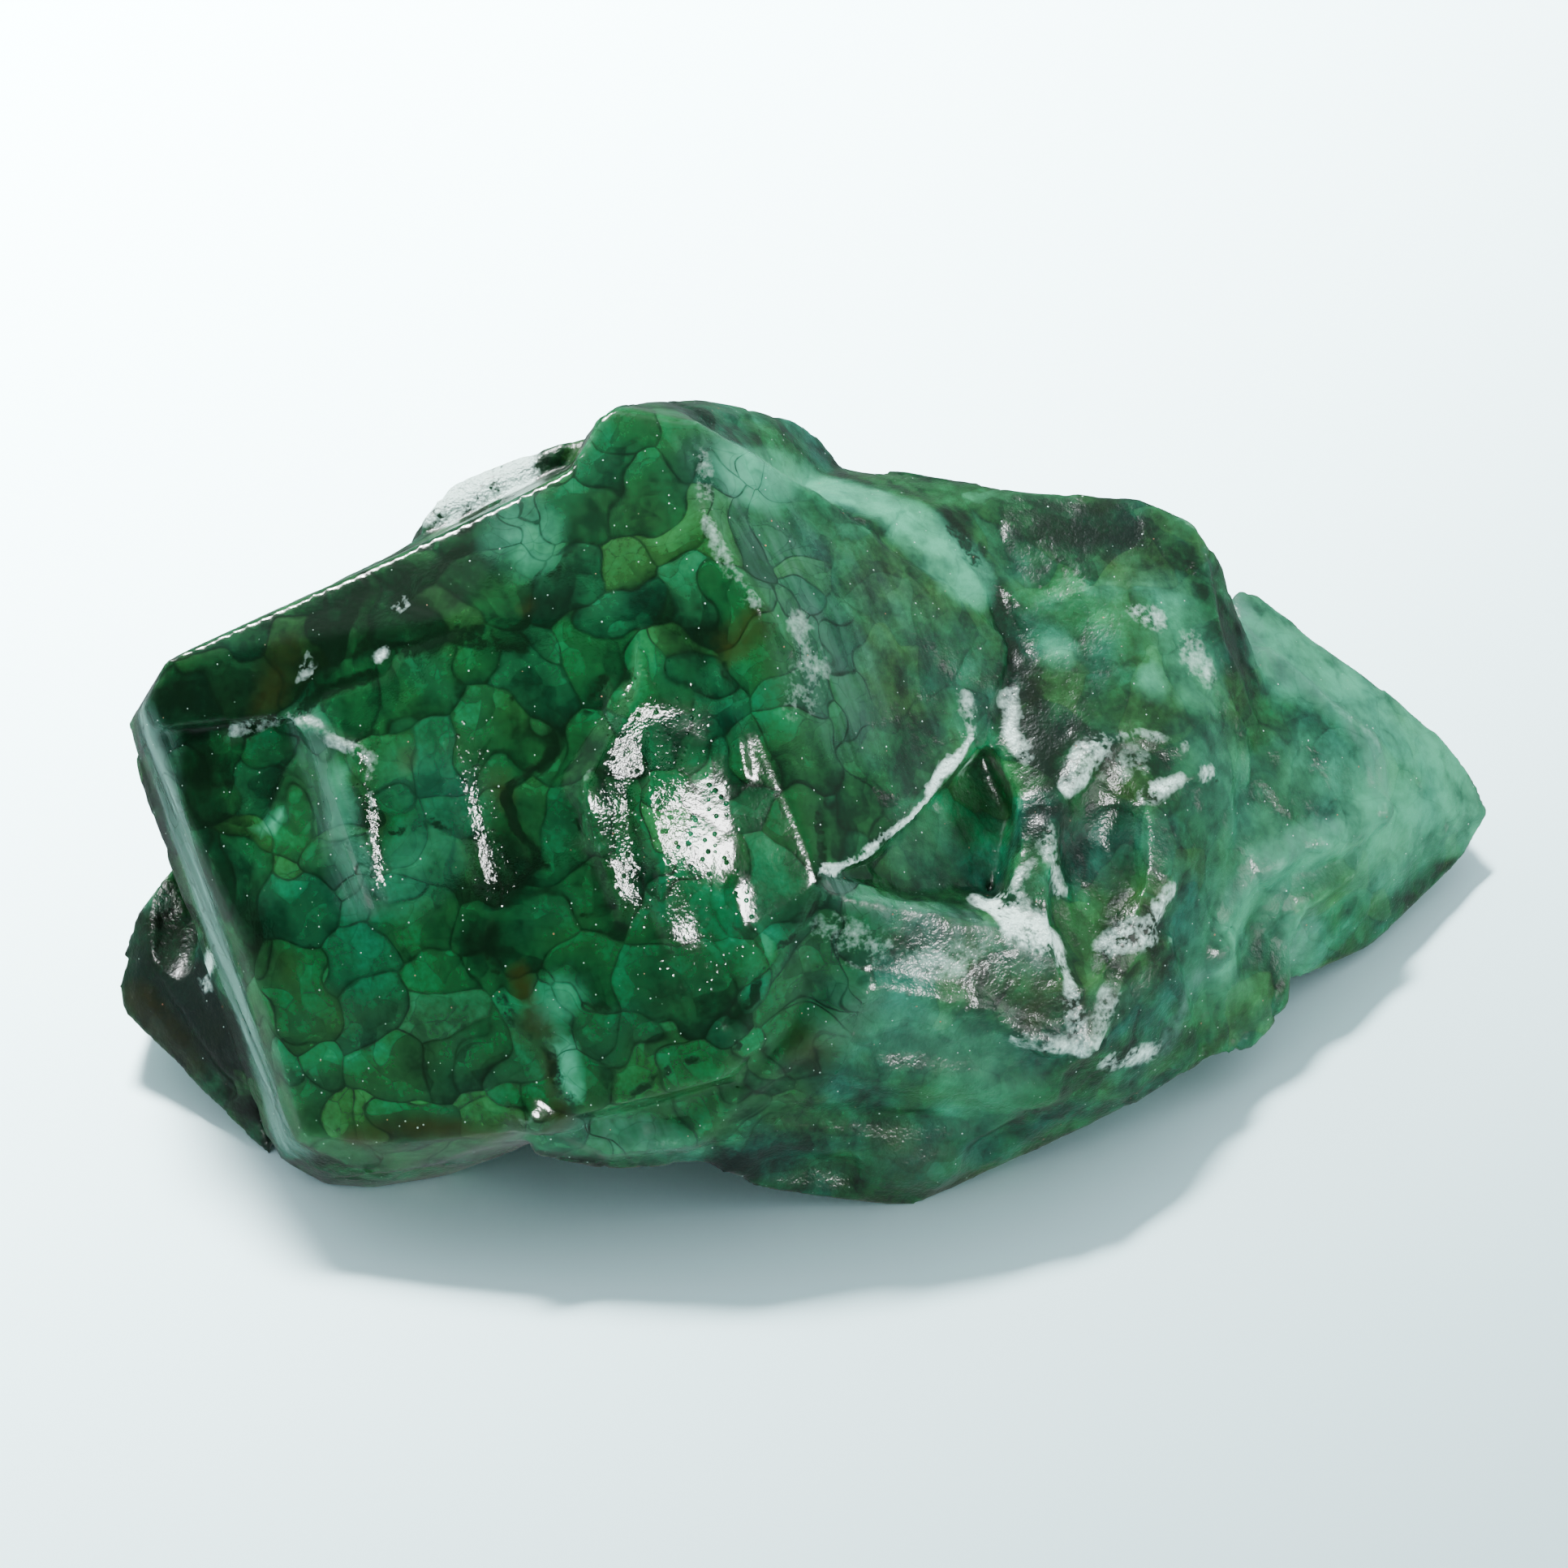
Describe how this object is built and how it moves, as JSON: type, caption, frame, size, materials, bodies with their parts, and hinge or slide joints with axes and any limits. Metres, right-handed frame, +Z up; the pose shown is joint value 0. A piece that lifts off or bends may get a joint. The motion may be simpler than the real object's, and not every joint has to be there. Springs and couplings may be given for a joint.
{
  "type": "raw emerald crystal",
  "caption": "Rough green gem crystal with a large glossy front face, a bevelled left end, broken ledges and a pointed right end, lying on a flat break.",
  "frame": {"origin": "on the ground plane, under the middle of the stone's bounding box", "axes": "+X along the stone towards its pointed end, +Y away from the large face, +Z up"},
  "size_m": [0.0524, 0.0337, 0.0248],
  "materials": {
    "emerald": "deep green glassy beryl with dark healed cracks, olive stains, frosted broken edges and a wet-looking gloss"
  },
  "bodies": {
    "root": {"emerald_crystal": "emerald"}
  },
  "joints": []
}
